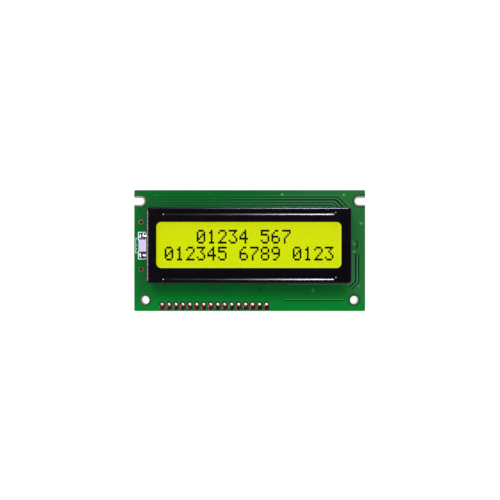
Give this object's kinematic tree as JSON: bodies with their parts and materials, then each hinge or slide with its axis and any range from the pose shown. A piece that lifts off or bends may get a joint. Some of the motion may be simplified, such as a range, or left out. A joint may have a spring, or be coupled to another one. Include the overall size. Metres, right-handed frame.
{
  "type": "character lcd module",
  "caption": "Character display module: a green board carries a black steel bezel round a yellow-green lit dot-matrix glass, with soldering holes for a header and four mounting places.",
  "frame": {"origin": "under the middle of the board, on the plane that the bezel's twisted tabs stand on", "axes": "+X along the text in reading direction, +Y up the text, +Z out of the display face"},
  "size_m": [0.084, 0.044, 0.0124],
  "materials": {
    "green_laminate": "semi-gloss green solder mask over glass-fibre laminate",
    "tinned_copper": "dull bright tin over copper",
    "gilt_contact": "thin gilt plating",
    "conductive_rubber": "layered black conductive rubber",
    "white_moulding": "white moulding with a faint lilac cast",
    "white_film": "matt white film",
    "clear_acrylic": "clear moulded acrylic",
    "led_package": "yellow-green LED package",
    "display_glass": "clear soda-lime glass",
    "polarizer": "tinted polarizing film with an anti-glare face",
    "seal_resin": "cured resin",
    "lit_crystal": "yellow-green, evenly lit from behind",
    "dot_dark": "dark lit segments",
    "black_steel": "gloss black enamel on folded sheet steel",
    "black_epoxy": "glossy black epoxy",
    "chip_black": "black glazed top of a chip resistor",
    "chip_tan": "tan ceramic",
    "solder": "bright solder"
  },
  "bodies": {
    "root": {"circuit_board": "green_laminate", "mounting_pads": "tinned_copper", "header_pads": "tinned_copper", "spare_hole_pads": "tinned_copper", "terminal_pads": "tinned_copper", "contact_fingers_upper": "gilt_contact", "contact_fingers_lower": "gilt_contact", "elastomer_strip_upper": "conductive_rubber", "elastomer_strip_lower": "conductive_rubber", "backlight_frame": "white_moulding", "reflector_film": "white_film", "light_guide": "clear_acrylic", "diffuser_film": "white_film", "led_board": "green_laminate", "led_chips": "led_package", "terminal_anode": "tinned_copper", "terminal_cathode": "tinned_copper", "terminal_solder": "solder", "rear_polarizer": "polarizer", "rear_glass": "display_glass", "cell_seal": "seal_resin", "fill_port_plug": "seal_resin", "liquid_crystal": "lit_crystal", "lit_dots": "dot_dark", "front_glass": "display_glass", "front_polarizer": "polarizer", "bezel": "black_steel", "controller_blob": "black_epoxy", "driver_blob": "black_epoxy", "resistor_bodies": "chip_black", "resistor_ends": "tinned_copper", "capacitor_bodies": "chip_tan", "capacitor_ends": "tinned_copper", "chip_solder_joints": "solder"}
  },
  "joints": []
}
